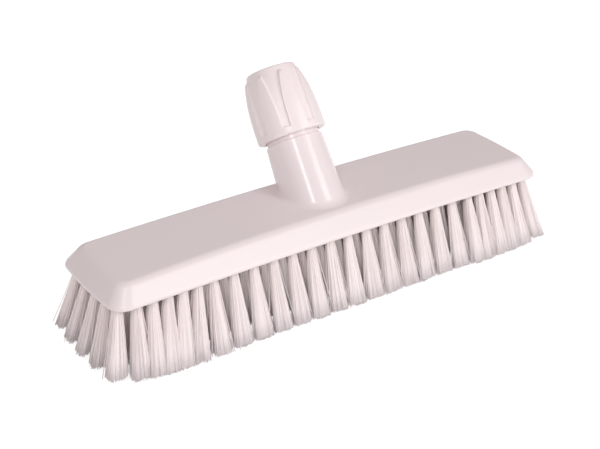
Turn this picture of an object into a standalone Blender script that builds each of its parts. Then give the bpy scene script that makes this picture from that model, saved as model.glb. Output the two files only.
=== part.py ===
"""A 305 mm deck brush head: moulded block with a tilted handle socket, screw collar, split gripper
sleeve and 130 bristle tufts. Metres, +Z up. It stands on its bristle tips at z = 0, with its length
along X and the socket leaning towards +Y. The origin is the middle of its plan, on the floor.
"""

import math

import bmesh
import bpy
from mathutils import Vector

MM = 0.001

# Clearances between separate pieces
SEAT_GAP = 0.3 * MM
THREAD_GAP = 0.35 * MM
SLIDE_GAP = 0.4 * MM

# Block, seen in plan
BLOCK_LENGTH = 301 * MM
BLOCK_WIDTH = 69.2 * MM
END_BOW = 2.1 * MM
BOW_SHARPNESS = 8
RIM_CORNER = 9 * MM
TOP_CORNER = 6.5 * MM
END_FACET_RUN = 7.9 * MM
SIDE_FACET_RUN = 7.2 * MM
TOP_WAIST = 2 * MM

# Block, in height
RIM_LEVEL = 48.3 * MM
RIM_ARCH = 1.95 * MM
BLOCK_RISE = 10.4 * MM
TOP_CROWN = 3.45 * MM
RIM_ROLL = 1.6 * MM
CREASE_BLEND = 1.6 * MM

# Recess under the block, filled by the bristle backing
RECESS_INSET = 2.4 * MM
UNDERSIDE_LEVEL = 49 * MM
BACKING_THICKNESS = 1.5 * MM

# Tufts, closer together towards the two ends
ROWS = 5
SIDE_MARGIN = 8.1 * MM
LEFT_MARGIN = 7 * MM
RIGHT_MARGIN = 8.3 * MM
NORMAL_PITCH = 13.1 * MM
CLOSE_PITCH = 9.3 * MM
LEFT_CLOSE_COUNT = 6
RIGHT_CLOSE_COUNT = 5
STRANDS_A_TUFT = 3
STRAND_STEP_ROOT = 2.1 * MM
STRAND_STEP_TIP = 3.6 * MM
STRAND_WIDTH_ROOT = 1.7 * MM
STRAND_WIDTH_TIP = 2.8 * MM
STRAND_DEPTH_ROOT = 5.2 * MM
STRAND_DEPTH_TIP = 9 * MM
LEAN_ACROSS = 0.3
LEAN_ALONG = 3.5 * MM
LEAN_LAST = 9.5 * MM
TIP_LIFT = 4 * MM
END_SHARPNESS = 14

# Socket, from the bore outwards and along its own axis from the block's top
SOCKET_OFFSET = 4.1 * MM
SOCKET_TILT = math.radians(35.8)
HANDLE_DIAMETER = 25 * MM
HANDLE_GAP = 0.25 * MM
NECK_WALL = 2.25 * MM
THREAD_DEPTH = 1.2 * MM
SHOULDER_STEP = 1.2 * MM
TUBE_FLARE = 1.3 * MM
BORE_BOTTOM_AT = 4 * MM
TUBE_LENGTH = 32 * MM
SHOULDER_CHAMFER = 0.7 * MM
NECK_PLAIN = 5 * MM
THREAD_LEAD = 3 * MM
THREAD_PITCH = 4 * MM
RUN_OUT_TURNS = 1
RIDGE_BASE = 2 * MM
RIDGE_CREST = 0.8 * MM
FOOT_FILLET = 4.5 * MM
FOOT_FILLET_BEHIND = 0.3 * MM
FOOT_BEDDING = 0.15 * MM
FOOT_SINK = 5 * MM

# Collar
COLLAR_STANDOFF = 2.5 * MM
COLLAR_HEIGHT = 42.1 * MM
COLLAR_BAND = 4.3 * MM
COLLAR_WALL = 4.15 * MM
COLLAR_CURL = 3.2
BAND_ROLL = 1.6 * MM
MOUTH_WALL = 2.1 * MM
LIP_CLEARANCE = 0.85 * MM
LIP_THICKNESS = 1.6 * MM
CONE_LENGTH = 11 * MM
CONE_LEDGE = 0.7 * MM
RELIEF_DEPTH = 7.5 * MM
PETALS = 8
PETAL_PHASE = math.radians(213.5)
PETAL_HALF_ANGLE = math.radians(14.4)
PETAL_POINT_ANGLE = math.radians(0.2)
PETAL_EDGE = math.radians(1.6)
PETAL_FULLNESS = 2.6
PETAL_BLUNTNESS = 0.8
PETAL_RAISE = 1 * MM
PETAL_TIP_DEPTH = 3.1 * MM

# Gripper sleeve
SLEEVE_SKIRT = 0.5 * MM
SLEEVE_SPLIT = 3 * MM
TAB_LENGTH = 11.5 * MM
TAB_WIDTH = 5 * MM
TAB_THICKNESS = 1.6 * MM
TAB_TRAVEL = 2 * MM
TAB_END_GAP = 0.5 * MM

# How finely round shapes are divided
ROUND_STEPS = 36
TURN_STEPS = 24
CORNER_STEPS = 4
END_STEPS = 3
SIDE_STEPS = 14
ROLL_STEPS = 3
BLEND_STEPS = 3
BAND_STEPS = 2
PETAL_STATIONS = (0.02, 0.2, 0.4, 0.57, 0.72, 0.83, 0.91, 0.97, 1)
SHARP_EDGE = math.radians(32)

# Radii round the socket's axis, worked out from the bore outwards
BORE_RADIUS = HANDLE_DIAMETER / 2 + HANDLE_GAP
THREAD_ROOT = BORE_RADIUS + NECK_WALL
NECK_RADIUS = THREAD_ROOT + THREAD_DEPTH
SHOULDER_RADIUS = NECK_RADIUS + SHOULDER_STEP
FOOT_RADIUS = SHOULDER_RADIUS + TUBE_FLARE
RELIEF_RADIUS = NECK_RADIUS + SLIDE_GAP + THREAD_GAP
COLLAR_RADIUS = RELIEF_RADIUS + COLLAR_WALL
LIP_RADIUS = BORE_RADIUS + LIP_CLEARANCE
CONE_END_RADIUS = LIP_RADIUS + CONE_LEDGE
COLLAR_TOP_RADIUS = LIP_RADIUS + MOUTH_WALL

# Places along the socket's axis, worked out from the shoulder outwards
COLLAR_FOOT_AT = TUBE_LENGTH + COLLAR_STANDOFF
COLLAR_TOP_AT = COLLAR_FOOT_AT + COLLAR_HEIGHT
PETAL_TIP_AT = COLLAR_TOP_AT - PETAL_TIP_DEPTH
CONE_END_AT = COLLAR_TOP_AT - LIP_THICKNESS
CONE_START_AT = CONE_END_AT - CONE_LENGTH
SLEEVE_FOOT_AT = CONE_START_AT - SLEEVE_SKIRT
NECK_END_AT = SLEEVE_FOOT_AT - TAB_TRAVEL - TAB_END_GAP
THREAD_START_AT = TUBE_LENGTH + NECK_PLAIN + THREAD_LEAD
THREAD_TURNS = (NECK_END_AT - THREAD_LEAD - THREAD_START_AT) / THREAD_PITCH

# The block's half sizes, and the places of the tufts
HALF_LENGTH = BLOCK_LENGTH / 2
HALF_WIDTH = BLOCK_WIDTH / 2
CLOSE_SPAN = CLOSE_PITCH * (LEFT_CLOSE_COUNT + RIGHT_CLOSE_COUNT)
WIDE_SPAN = BLOCK_LENGTH - LEFT_MARGIN - RIGHT_MARGIN - CLOSE_SPAN
WIDE_COUNT = round(WIDE_SPAN / NORMAL_PITCH)
WIDE_PITCH = WIDE_SPAN / WIDE_COUNT
COLUMN_STEPS = (
    [CLOSE_PITCH] * LEFT_CLOSE_COUNT + [WIDE_PITCH] * WIDE_COUNT + [CLOSE_PITCH] * RIGHT_CLOSE_COUNT
)
FIRST_COLUMN = LEFT_MARGIN - HALF_LENGTH
COLUMNS = [FIRST_COLUMN + sum(COLUMN_STEPS[:index]) for index in range(len(COLUMN_STEPS) + 1)]
ROW_PITCH = (BLOCK_WIDTH - 2 * SIDE_MARGIN) / (ROWS - 1)
ROW_CENTRES = [(index - (ROWS - 1) / 2) * ROW_PITCH for index in range(ROWS)]

# Colour and roughness of each material
MATERIALS = {
    "block_plastic": ((0.86, 0.84, 0.84, 1), 0.3),
    "collar_plastic": ((0.86, 0.84, 0.84, 1), 0.25),
    "sleeve_plastic": ((0.78, 0.79, 0.8, 1), 0.45),
    "filament": ((0.82, 0.78, 0.77, 1), 0.35),
}


def remove_old_objects():
    for old in list(bpy.data.objects):
        bpy.data.objects.remove(old, do_unlink=True)


def make_material(name):
    """A plain glossy or satin plastic."""
    colour, roughness = MATERIALS[name]
    material = bpy.data.materials.new(name)
    material.use_nodes = True
    shader = material.node_tree.nodes["Principled BSDF"]
    shader.inputs["Base Color"].default_value = colour
    shader.inputs["Roughness"].default_value = roughness
    shader.inputs["Metallic"].default_value = 0.0
    return material


def add_empty(name, location, tilt=0.0, parent=None):
    empty = bpy.data.objects.new(name, None)
    empty.location = location
    empty.rotation_euler = (-tilt, 0, 0)
    empty.parent = parent
    bpy.context.collection.objects.link(empty)
    return empty


def add_object(name, shape, parent, material=None, smooth=False):
    """A named object from a bmesh. Without a material it is a hidden guide."""
    bmesh.ops.recalc_face_normals(shape, faces=shape.faces)
    mesh = bpy.data.meshes.new(name)
    shape.to_mesh(mesh)
    shape.free()
    if smooth:
        mesh.shade_smooth()
        mesh.set_sharp_from_angle(angle=SHARP_EDGE)
    piece = bpy.data.objects.new(name, mesh)
    piece.parent = parent
    bpy.context.collection.objects.link(piece)
    if material:
        mesh.materials.append(material)
    else:
        piece.hide_render = True
        piece.display_type = "WIRE"
    return piece


def add_boolean(target, other, operation, solver="EXACT"):
    modifier = target.modifiers.new(other.name, "BOOLEAN")
    modifier.operation = operation
    modifier.solver = solver
    modifier.object = other


def bridge_rings(shape, rings, close_ends=True):
    """Faces between successive closed rings of equal length, with the two end rings filled."""
    loops = [[shape.verts.new(point) for point in ring] for ring in rings]
    for lower, upper in zip(loops, loops[1:]):
        for index, vertex in enumerate(lower):
            following = (index + 1) % len(lower)
            shape.faces.new((vertex, lower[following], upper[following], upper[index]))
    if close_ends:
        shape.faces.new(list(reversed(loops[0])))
        shape.faces.new(loops[-1])
    return loops


def along(start, end, steps):
    """Evenly spaced values from start to end, both included."""
    return [start + (end - start) * index / steps for index in range(steps + 1)]


def middle_share(x):
    """1 at mid-length, falling to 0 at the ends of the block."""
    return 1 - (x / HALF_LENGTH) ** 2


def rim_height(x):
    return RIM_LEVEL + RIM_ARCH * middle_share(x)


def rim_underside(x):
    return rim_height(x) - RIM_ROLL


def top_height(x):
    return RIM_LEVEL + BLOCK_RISE + TOP_CROWN * middle_share(x)


def side_run(x):
    return SIDE_FACET_RUN + TOP_WAIST * middle_share(x)


def edge_section(run, rise):
    """The block's edge from under the rim to the top, as (inset, height above the rim line).

    The rim is an arc, the facet is tangent to it, and a short curve blends the facet into the top.
    """
    lean = math.atan2(run - RIM_ROLL, rise) + math.asin(RIM_ROLL / math.hypot(run - RIM_ROLL, rise))
    points = []
    for angle in along(-math.pi / 2, lean, ROLL_STEPS):
        points.append((RIM_ROLL * (1 - math.cos(angle)), RIM_ROLL * math.sin(angle)))
    corner = Vector((run, rise))
    below = corner - CREASE_BLEND * Vector((math.sin(lean), math.cos(lean)))
    inside = corner + Vector((CREASE_BLEND, 0))
    for share in along(0, 1, BLEND_STEPS):
        blend = below.lerp(corner, share).lerp(corner.lerp(inside, share), share)
        points.append(tuple(blend))
    return points


def front_outline(half_length, corner):
    """The front half of a plan outline, from the left end's middle round to the right end's."""
    straight = HALF_WIDTH - corner
    points = [(half_length, -straight * index / END_STEPS) for index in range(END_STEPS)]
    for angle in along(0, math.pi / 2, CORNER_STEPS):
        across = half_length - corner + corner * math.cos(angle)
        points.append((across, -straight - corner * math.sin(angle)))
    side = along(half_length - corner, 0, SIDE_STEPS // 2)[1:]
    points += [(x, -HALF_WIDTH) for x in side]
    left = [(-x, y) for x, y in points]
    return left + list(reversed(points[:-1]))


def end_bow(x, y):
    """How far the gently rounded end stands out beyond a straight one."""
    bulge = END_BOW * (1 - (y / HALF_WIDTH) ** 2) * (abs(x) / HALF_LENGTH) ** BOW_SHARPNESS
    return math.copysign(bulge, x)


def block_ring(inset_end, inset_side, corner, height):
    """One closed ring of the block. The inset at the sides and the height are functions of x."""
    front = []
    for x, y in front_outline(HALF_LENGTH - inset_end, corner):
        front.append((x + end_bow(x, y), y * (1 - inset_side(x) / HALF_WIDTH), height(x)))
    back = [(x, -y, z) for x, y, z in reversed(front[1:-1])]
    return front + back


def recess_ring(inset, height):
    """A ring that follows the rim at an even inset."""
    return block_ring(inset, lambda x: inset, RIM_CORNER - inset, height)


def fill_ladder(shape, loop, flip):
    """Fills a block ring with strips that run straight from front to back."""
    half = len(loop) // 2
    front = loop[: half + 1]
    back = [loop[0]] + list(reversed(loop[half:]))
    for index in range(half):
        corners = [front[index], front[index + 1], back[index + 1], back[index]]
        unique = list(dict.fromkeys(corners))
        shape.faces.new(list(reversed(unique)) if flip else unique)


def block_body():
    """The board: rolled rim, sloping facets, crowned top, and the shallow recess underneath."""
    shape = bmesh.new()
    end_points = edge_section(END_FACET_RUN, BLOCK_RISE)
    levels = len(end_points)
    ceiling = UNDERSIDE_LEVEL + BACKING_THICKNESS + SEAT_GAP
    rings = [recess_ring(RECESS_INSET, height) for height in (lambda x: ceiling, rim_underside)]
    for level in range(levels):

        def section(x, level=level):
            return edge_section(side_run(x), top_height(x) - rim_height(x))[level]

        share = level / (levels - 1)
        corner = RIM_CORNER + (TOP_CORNER - RIM_CORNER) * share
        rings.append(
            block_ring(
                end_points[level][0],
                lambda x: section(x)[0],
                corner,
                lambda x: rim_height(x) + section(x)[1],
            )
        )
    loops = bridge_rings(shape, rings, close_ends=False)
    fill_ladder(shape, loops[0], flip=True)
    fill_ladder(shape, loops[-1], flip=False)
    return shape


def polar(radius, angle, distance):
    """A point round the socket's axis."""
    return Vector((radius * math.cos(angle), radius * math.sin(angle), distance))


def ring(radius, distance):
    return [polar(radius, 2 * math.pi * index / ROUND_STEPS, distance) for index in range(ROUND_STEPS)]


def foot_curve(angle):
    """The fillet's section at one angle round the socket, from inside the board up to the tube.

    It is full in front and dies out behind, where the leaning tube runs on to the back facet.
    """
    behind = max(math.sin(angle), 0)
    on_edge = polar(FOOT_RADIUS, angle, FOOT_RADIUS * math.sin(angle) * math.tan(SOCKET_TILT))
    up = Vector((0, -math.sin(SOCKET_TILT), math.cos(SOCKET_TILT)))
    fillet = FOOT_FILLET + (FOOT_FILLET_BEHIND - FOOT_FILLET) * behind
    on_board = on_edge + on_edge.normalized() * fillet - up * FOOT_BEDDING
    on_tube = on_edge + Vector((0, 0, fillet))
    upward = up.lerp(Vector((0, 0, 1 / math.cos(SOCKET_TILT))), behind)
    points = [on_board - upward * FOOT_SINK]
    for share in along(0, 1, BLEND_STEPS + 1):
        points.append(on_board.lerp(on_edge, share).lerp(on_edge.lerp(on_tube, share), share))
    return points


def socket_form():
    """The tube, its filleted foot, its shoulder and the plain neck, round the socket's axis."""
    shape = bmesh.new()
    angles = [2 * math.pi * index / ROUND_STEPS for index in range(ROUND_STEPS)]
    curves = [foot_curve(angle) for angle in angles]
    rings = [list(points) for points in zip(*curves)]
    rings.append(ring(SHOULDER_RADIUS, TUBE_LENGTH - SHOULDER_CHAMFER))
    rings.append(ring(SHOULDER_RADIUS - SHOULDER_CHAMFER, TUBE_LENGTH))
    rings.append(ring(NECK_RADIUS, TUBE_LENGTH))
    rings.append(ring(NECK_RADIUS, TUBE_LENGTH + NECK_PLAIN))
    rings.append(ring(THREAD_ROOT, TUBE_LENGTH + NECK_PLAIN + NECK_RADIUS - THREAD_ROOT))
    rings.append(ring(THREAD_ROOT, NECK_END_AT))
    bridge_rings(shape, rings)
    return shape


def plain_cylinder(radius, start, end):
    shape = bmesh.new()
    bridge_rings(shape, [ring(radius, start), ring(radius, end)])
    return shape


def thread_form(start, turns, root, crest, base_width, crest_width):
    """A right-hand helical ridge of trapezium section, sunk a little under its root radius."""
    shape = bmesh.new()
    sunk = root - SLIDE_GAP
    widen = (base_width - crest_width) / (crest - root) * SLIDE_GAP
    section = [
        (sunk, -(base_width + widen) / 2),
        (crest, -crest_width / 2),
        (crest, crest_width / 2),
        (sunk, (base_width + widen) / 2),
    ]
    rings = []
    for index in range(round(turns * TURN_STEPS) + 1):
        angle = 2 * math.pi * index / TURN_STEPS
        climb = start + THREAD_PITCH * index / TURN_STEPS
        rings.append([polar(radius, angle, climb + offset) for radius, offset in section])
    bridge_rings(shape, rings)
    return shape


def box_form(low, high):
    """A plain box between two corners, for a slot or a tab."""
    shape = bmesh.new()
    corners = [(low[0], low[1]), (high[0], low[1]), (high[0], high[1]), (low[0], high[1])]
    bridge_rings(shape, [[Vector((x, y, z)) for x, y in corners] for z in (low[2], high[2])])
    return shape


def tab_slot_form():
    """The straight slot through both sides of the neck that the sleeve's tabs slide in."""
    half = TAB_WIDTH / 2 + SLIDE_GAP
    bottom = SLEEVE_FOOT_AT - TAB_LENGTH - TAB_TRAVEL - SLIDE_GAP
    reach = NECK_RADIUS + RIDGE_BASE
    return box_form((-reach, -half, bottom), (reach, half, NECK_END_AT + RIDGE_BASE))


def make_block(frame, socket_axis, material):
    block = add_object("brush_block", block_body(), frame, material, smooth=True)
    ridge = thread_form(THREAD_START_AT, THREAD_TURNS, THREAD_ROOT, NECK_RADIUS, RIDGE_BASE, RIDGE_CREST)
    add_boolean(block, add_object("socket_tube_guide", socket_form(), socket_axis), "UNION")
    add_boolean(block, add_object("thread_guide", ridge, socket_axis), "UNION")
    bore = plain_cylinder(BORE_RADIUS, BORE_BOTTOM_AT, NECK_END_AT + RIDGE_BASE)
    for name, cutter in (("handle_bore_guide", bore), ("tab_slot_guide", tab_slot_form())):
        add_boolean(block, add_object(name, cutter, socket_axis), "DIFFERENCE", solver="MANIFOLD")
    return block


def collar_outer_radius(distance):
    """The petals' outer radius: nearly straight low down and curling in to the mouth."""
    share = (distance - COLLAR_FOOT_AT - COLLAR_BAND) / (COLLAR_TOP_AT - COLLAR_FOOT_AT - COLLAR_BAND)
    return COLLAR_RADIUS - (COLLAR_RADIUS - COLLAR_TOP_RADIUS) * max(share, 0) ** COLLAR_CURL


def petal_columns(half_angle):
    """Angles and raised or sunk marks round the collar, for petals of one half angle."""
    pitch = 2 * math.pi / PETALS
    marks = []
    for petal in range(PETALS):
        centre = PETAL_PHASE + petal * pitch
        marks += [
            (centre - half_angle - PETAL_EDGE, False),
            (centre - half_angle, True),
            (centre, True),
            (centre + half_angle, True),
            (centre + half_angle + PETAL_EDGE, False),
            (centre + pitch / 2, False),
        ]
    return marks


def petal_half_angle(distance):
    """The pointed-arch outline: full width at the band, closing to a point at the petal's tip."""
    band_top = COLLAR_FOOT_AT + COLLAR_BAND
    share = min(max((distance - band_top) / (PETAL_TIP_AT - band_top), 0), 1)
    return PETAL_HALF_ANGLE * (1 - share**PETAL_FULLNESS) ** PETAL_BLUNTNESS + PETAL_POINT_ANGLE


def collar_ring(distance, radius, sunk):
    """One ring of the collar's outside; the marks that aren't raised are sunk by the given depth."""
    columns = petal_columns(petal_half_angle(distance))
    return [polar(radius - (0 if raised else sunk), angle, distance) for angle, raised in columns]


def collar_inner_ring(distance, radius):
    columns = petal_columns(petal_half_angle(COLLAR_FOOT_AT))
    return [polar(radius, angle, distance) for angle, _ in columns]


def collar_body():
    """Band, petals and curled-in top outside; relief, thread bore, cone and lip inside."""
    shape = bmesh.new()
    band_top = COLLAR_FOOT_AT + COLLAR_BAND
    bore = THREAD_ROOT + THREAD_GAP
    rings = []
    for angle in along(0, math.pi / 2, BAND_STEPS):
        distance = COLLAR_FOOT_AT + BAND_ROLL * (1 - math.cos(angle))
        rings.append(collar_ring(distance, COLLAR_RADIUS - BAND_ROLL * (1 - math.sin(angle)), 0))
    rings.append(collar_ring(band_top, COLLAR_RADIUS, 0))
    for share in PETAL_STATIONS:
        distance = band_top + (PETAL_TIP_AT - band_top) * share
        rings.append(collar_ring(distance, collar_outer_radius(distance), PETAL_RAISE))
    rings.append(collar_ring(COLLAR_TOP_AT - PETAL_RAISE, COLLAR_TOP_RADIUS, 0))
    rings.append(collar_ring(COLLAR_TOP_AT, COLLAR_TOP_RADIUS - PETAL_RAISE, 0))
    inner = (
        (COLLAR_TOP_AT, LIP_RADIUS),
        (CONE_END_AT, LIP_RADIUS),
        (CONE_END_AT, CONE_END_RADIUS),
        (CONE_START_AT, bore),
        (COLLAR_FOOT_AT + RELIEF_DEPTH, bore),
        (COLLAR_FOOT_AT + RELIEF_DEPTH - (RELIEF_RADIUS - bore), RELIEF_RADIUS),
        (COLLAR_FOOT_AT, RELIEF_RADIUS),
    )
    rings += [collar_inner_ring(distance, radius) for distance, radius in inner]
    loops = bridge_rings(shape, rings, close_ends=False)
    bridge_loops(shape, loops[-1], loops[0])
    return shape


def bridge_loops(shape, lower, upper):
    """Faces between two rings of vertices that are already there."""
    for index, vertex in enumerate(lower):
        following = (index + 1) % len(lower)
        shape.faces.new((vertex, lower[following], upper[following], upper[index]))


def make_collar(socket_axis, material):
    collar = add_object("locking_collar", collar_body(), socket_axis, material, smooth=True)
    grown = 2 * THREAD_GAP
    groove = thread_form(
        THREAD_START_AT - RUN_OUT_TURNS * THREAD_PITCH,
        THREAD_TURNS + 2 * RUN_OUT_TURNS,
        THREAD_ROOT + THREAD_GAP,
        NECK_RADIUS + THREAD_GAP,
        RIDGE_BASE + grown,
        RIDGE_CREST + grown,
    )
    add_boolean(collar, add_object("groove_guide", groove, socket_axis), "DIFFERENCE")
    return collar


def cone_radius(distance):
    """The collar's inside cone at one distance."""
    share = (distance - CONE_START_AT) / (CONE_END_AT - CONE_START_AT)
    return THREAD_ROOT + THREAD_GAP + (CONE_END_RADIUS - THREAD_ROOT - THREAD_GAP) * max(share, 0)


def sleeve_body():
    """A split ring whose outside follows the collar's cone."""
    shape = bmesh.new()
    top = CONE_END_AT - SEAT_GAP
    split = math.asin(SLEEVE_SPLIT / 2 / BORE_RADIUS)
    angles = along(-math.pi / 2 + split, 3 * math.pi / 2 - split, ROUND_STEPS)
    sections = []
    for angle in angles:
        sections.append(
            [
                polar(BORE_RADIUS, angle, SLEEVE_FOOT_AT),
                polar(cone_radius(SLEEVE_FOOT_AT) - SEAT_GAP, angle, SLEEVE_FOOT_AT),
                polar(cone_radius(CONE_START_AT) - SEAT_GAP, angle, CONE_START_AT),
                polar(cone_radius(top) - SEAT_GAP, angle, top),
                polar(BORE_RADIUS, angle, top),
            ]
        )
    bridge_rings(shape, sections)
    return shape


def tab_form(side):
    """One straight tab under the sleeve, within the thickness of the neck's wall."""
    middle = (BORE_RADIUS + THREAD_ROOT) / 2
    near = side * (middle - TAB_THICKNESS / 2)
    far = side * (middle + TAB_THICKNESS / 2)
    low = (min(near, far), -TAB_WIDTH / 2, SLEEVE_FOOT_AT - TAB_LENGTH)
    high = (max(near, far), TAB_WIDTH / 2, SLEEVE_FOOT_AT + TAB_THICKNESS)
    return box_form(low, high)


def make_sleeve(socket_axis, material):
    sleeve = add_object("gripper_sleeve", sleeve_body(), socket_axis, material, smooth=True)
    for side, name in ((-1, "left_tab_guide"), (1, "right_tab_guide")):
        add_boolean(sleeve, add_object(name, tab_form(side), socket_axis), "UNION")
    return sleeve


def column_pitch(index):
    """The narrower of the two spaces beside a column of tufts."""
    steps = COLUMN_STEPS[max(index - 1, 0) : index + 1]
    return min(steps)


def end_share(x):
    """Near 0 along the brush and 1 at its outermost column."""
    return (abs(x) / abs(FIRST_COLUMN)) ** END_SHARPNESS


def tip_centre(x, y):
    """Where a tuft's middle ends, on the floor or a little above it at the two ends."""
    along_brush = LEAN_ALONG * abs(x / FIRST_COLUMN) + LEAN_LAST * end_share(x)
    return Vector((x + math.copysign(along_brush, x), y * (1 + LEAN_ACROSS), TIP_LIFT * end_share(x)))


def strand_rings(x, y, place, narrow):
    """The root and tip of one four-sided strand; place counts from the tuft's middle."""
    tip = tip_centre(x, y)
    root_x = x + place * STRAND_STEP_ROOT * narrow
    tip_x = tip.x + place * STRAND_STEP_TIP * narrow
    corners = ((-1, -1), (1, -1), (1, 1), (-1, 1))
    root, end = [], []
    for across, deep in corners:
        half_root = STRAND_WIDTH_ROOT * narrow / 2
        half_tip = STRAND_WIDTH_TIP * narrow / 2
        root.append(Vector((root_x + across * half_root, y + deep * STRAND_DEPTH_ROOT / 2, UNDERSIDE_LEVEL)))
        end.append(Vector((tip_x + across * half_tip, tip.y + deep * STRAND_DEPTH_TIP / 2, tip.z)))
    return root, end


def backing_outline(low_x, high_x):
    """The slice of the backing between two cuts across the brush, inside the recess."""
    inset = RECESS_INSET + SEAT_GAP
    half = HALF_WIDTH - inset
    straight_end = HALF_LENGTH - RIM_CORNER - SEAT_GAP
    rim = [Vector(point) for point in recess_ring(inset, lambda x: UNDERSIDE_LEVEL)]
    corners = [point for point in rim if low_x < point.x < high_x and abs(point.x) > straight_end]
    front = [point for point in corners if point.y <= 0]
    back = [point for point in corners if point.y > 0]
    low_cut = [Vector((low_x, y, UNDERSIDE_LEVEL)) for y in (half, -half) if low_x > -HALF_LENGTH]
    high_cut = [Vector((high_x, y, UNDERSIDE_LEVEL)) for y in (-half, half) if high_x < HALF_LENGTH]
    return low_cut + front + high_cut + back


def column_body(index):
    """One slice of backing with its five tufts, each of three strands."""
    x = COLUMNS[index]
    last = len(COLUMNS) - 1
    low_x = -BLOCK_LENGTH if index == 0 else (COLUMNS[index - 1] + x + SEAT_GAP) / 2
    high_x = BLOCK_LENGTH if index == last else (COLUMNS[index + 1] + x - SEAT_GAP) / 2
    narrow = column_pitch(index) / WIDE_PITCH
    shape = bmesh.new()
    outline = backing_outline(low_x, high_x)
    lower = [shape.verts.new(point) for point in outline]
    upper = [shape.verts.new(point + Vector((0, 0, BACKING_THICKNESS))) for point in outline]
    shape.faces.new(upper)
    bridge_loops(shape, lower, upper)
    edges = [shape.edges.get((lower[i - 1], lower[i])) for i in range(len(lower))]
    for y in ROW_CENTRES:
        for strand in range(STRANDS_A_TUFT):
            place = strand - (STRANDS_A_TUFT - 1) / 2
            root, end = strand_rings(x, y, place, narrow)
            tip_loop = [shape.verts.new(point) for point in end]
            root_loop = [shape.verts.new(point) for point in root]
            shape.faces.new(tip_loop)
            bridge_loops(shape, tip_loop, root_loop)
            edges += [shape.edges.get((root_loop[i - 1], root_loop[i])) for i in range(len(root_loop))]
    bmesh.ops.triangle_fill(shape, use_beauty=True, edges=edges, normal=(0, 0, -1))
    return shape


def make_columns(frame, material):
    for index in range(len(COLUMNS)):
        add_object(f"bristle_column_{index + 1:02d}", column_body(index), frame, material)


def plan_middle_offset():
    """How far the block's middle lies from the middle of the whole brush, front to back."""
    front = STRAND_DEPTH_TIP / 2 - tip_centre(0, ROW_CENTRES[0]).y
    back = 0
    for distance in along(COLLAR_FOOT_AT, COLLAR_TOP_AT, ROUND_STEPS):
        across = collar_outer_radius(distance) * math.cos(SOCKET_TILT)
        back = max(back, SOCKET_OFFSET + distance * math.sin(SOCKET_TILT) + across)
    return (front - back) / 2


def main():
    remove_old_objects()
    frame = add_empty("brush_frame", (0, plan_middle_offset(), 0))
    socket_axis = add_empty("socket_axis", (0, SOCKET_OFFSET, top_height(0)), SOCKET_TILT, frame)
    make_block(frame, socket_axis, make_material("block_plastic"))
    make_collar(socket_axis, make_material("collar_plastic"))
    make_sleeve(socket_axis, make_material("sleeve_plastic"))
    make_columns(frame, make_material("filament"))


main()
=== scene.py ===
"""The looks of a deck brush head: moulded block with a tilted socket, petalled screw collar, split
gripper sleeve and 130 flared tufts of filament. Metres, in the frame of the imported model.
"""

import math

import bmesh
import bpy
import numpy as np
from bpy.props import FloatProperty, FloatVectorProperty, IntProperty, PointerProperty
from bpy.types import Operator, Panel, PropertyGroup
from mathutils import Matrix, Vector


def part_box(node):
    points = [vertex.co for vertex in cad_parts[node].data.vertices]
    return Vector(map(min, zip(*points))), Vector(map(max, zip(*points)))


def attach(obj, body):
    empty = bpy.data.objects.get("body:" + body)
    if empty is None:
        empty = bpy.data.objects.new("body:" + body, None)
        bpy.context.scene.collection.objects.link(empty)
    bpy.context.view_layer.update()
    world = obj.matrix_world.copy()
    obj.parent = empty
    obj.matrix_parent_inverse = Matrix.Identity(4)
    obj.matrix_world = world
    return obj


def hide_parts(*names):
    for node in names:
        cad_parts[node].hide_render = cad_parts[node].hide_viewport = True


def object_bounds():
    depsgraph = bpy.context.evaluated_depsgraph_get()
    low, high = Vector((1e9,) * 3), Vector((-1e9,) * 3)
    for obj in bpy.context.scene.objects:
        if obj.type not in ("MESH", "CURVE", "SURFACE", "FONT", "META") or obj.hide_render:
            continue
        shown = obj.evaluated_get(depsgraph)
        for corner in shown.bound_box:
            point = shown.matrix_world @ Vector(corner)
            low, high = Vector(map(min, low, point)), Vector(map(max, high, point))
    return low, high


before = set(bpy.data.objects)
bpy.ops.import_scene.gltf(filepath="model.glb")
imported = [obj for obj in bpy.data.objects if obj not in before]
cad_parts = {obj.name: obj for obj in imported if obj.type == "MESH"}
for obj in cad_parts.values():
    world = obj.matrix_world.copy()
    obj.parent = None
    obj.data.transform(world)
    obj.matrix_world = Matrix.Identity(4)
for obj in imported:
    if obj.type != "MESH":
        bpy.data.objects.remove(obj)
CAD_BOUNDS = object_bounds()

bl_info = {
    "name": "Deck Brush Head",
    "version": (1, 0, 0),
    "blender": (4, 5, 0),
    "location": "3D View > Sidebar > Deck Brush",
    "description": "Models a deck brush head with its finishes and a plain studio",
    "category": "Add Mesh",
}

MM = 0.001

# Block, seen in plan
HALF_LENGTH = 150.5 * MM
HALF_WIDTH = 34.6 * MM
END_BOW = 2.1 * MM
BOW_SHARPNESS = 8
RIM_CORNER = 9 * MM
TOP_CORNER = 6.5 * MM
END_FACET_RUN = 7.9 * MM
SIDE_FACET_RUN = 7.2 * MM
TOP_WAIST = 2 * MM

# Block, in height
RIM_LEVEL = 48.3 * MM
RIM_ARCH = 1.95 * MM
BLOCK_RISE = 10.4 * MM
TOP_CROWN = 3.45 * MM
UNDERSIDE_LEVEL = 49 * MM
RIM_LAND = 0.8 * MM

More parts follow.
